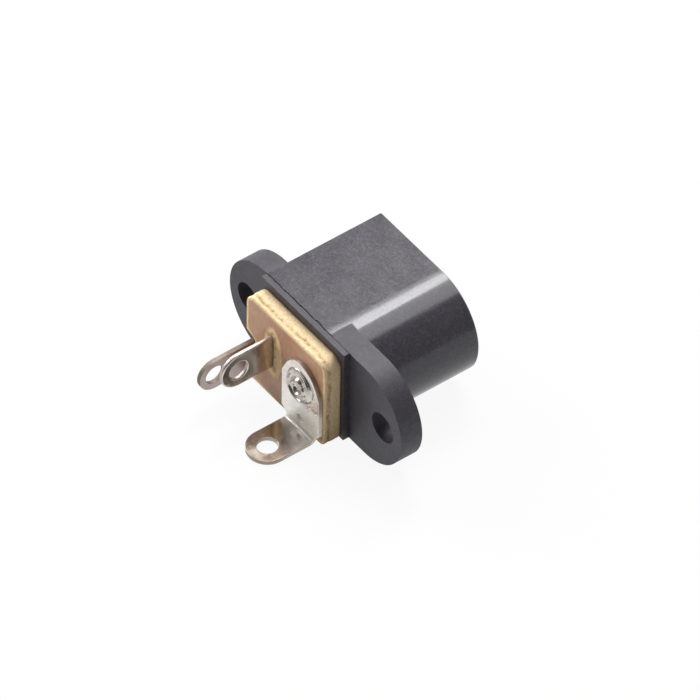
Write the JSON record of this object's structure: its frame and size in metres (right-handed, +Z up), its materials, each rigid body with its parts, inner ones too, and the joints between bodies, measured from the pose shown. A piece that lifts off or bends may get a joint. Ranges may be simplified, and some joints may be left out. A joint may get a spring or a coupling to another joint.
{
  "type": "dc barrel jack",
  "caption": "Panel-mount power jack with screw ears, a round plug socket with a centre pin, and solder lugs on a punched terminal board.",
  "frame": {"origin": "midway between the two ear holes, on the front face of the ears", "axes": "+Y out of the plug opening, +X along the ears towards the round side of the body, +Z up from the flat bottom"},
  "size_m": [0.023, 0.0191, 0.0103],
  "materials": {
    "housing": "moulded black thermoplastic, satin, faintly mottled",
    "board": "paper phenolic laminate with pale punched edges",
    "pin": "nickel plated, turned",
    "lug": "nickel plated stamping, worn to brass at the end",
    "contact": "nickel plated stamping",
    "spring": "nickel plated stamping, dull"
  },
  "bodies": {
    "root": {"housing": "housing", "terminal_board": "board", "center_pin": "pin", "pin_lug": "lug", "switch_contact": "contact", "sleeve_spring": "spring"}
  },
  "joints": []
}
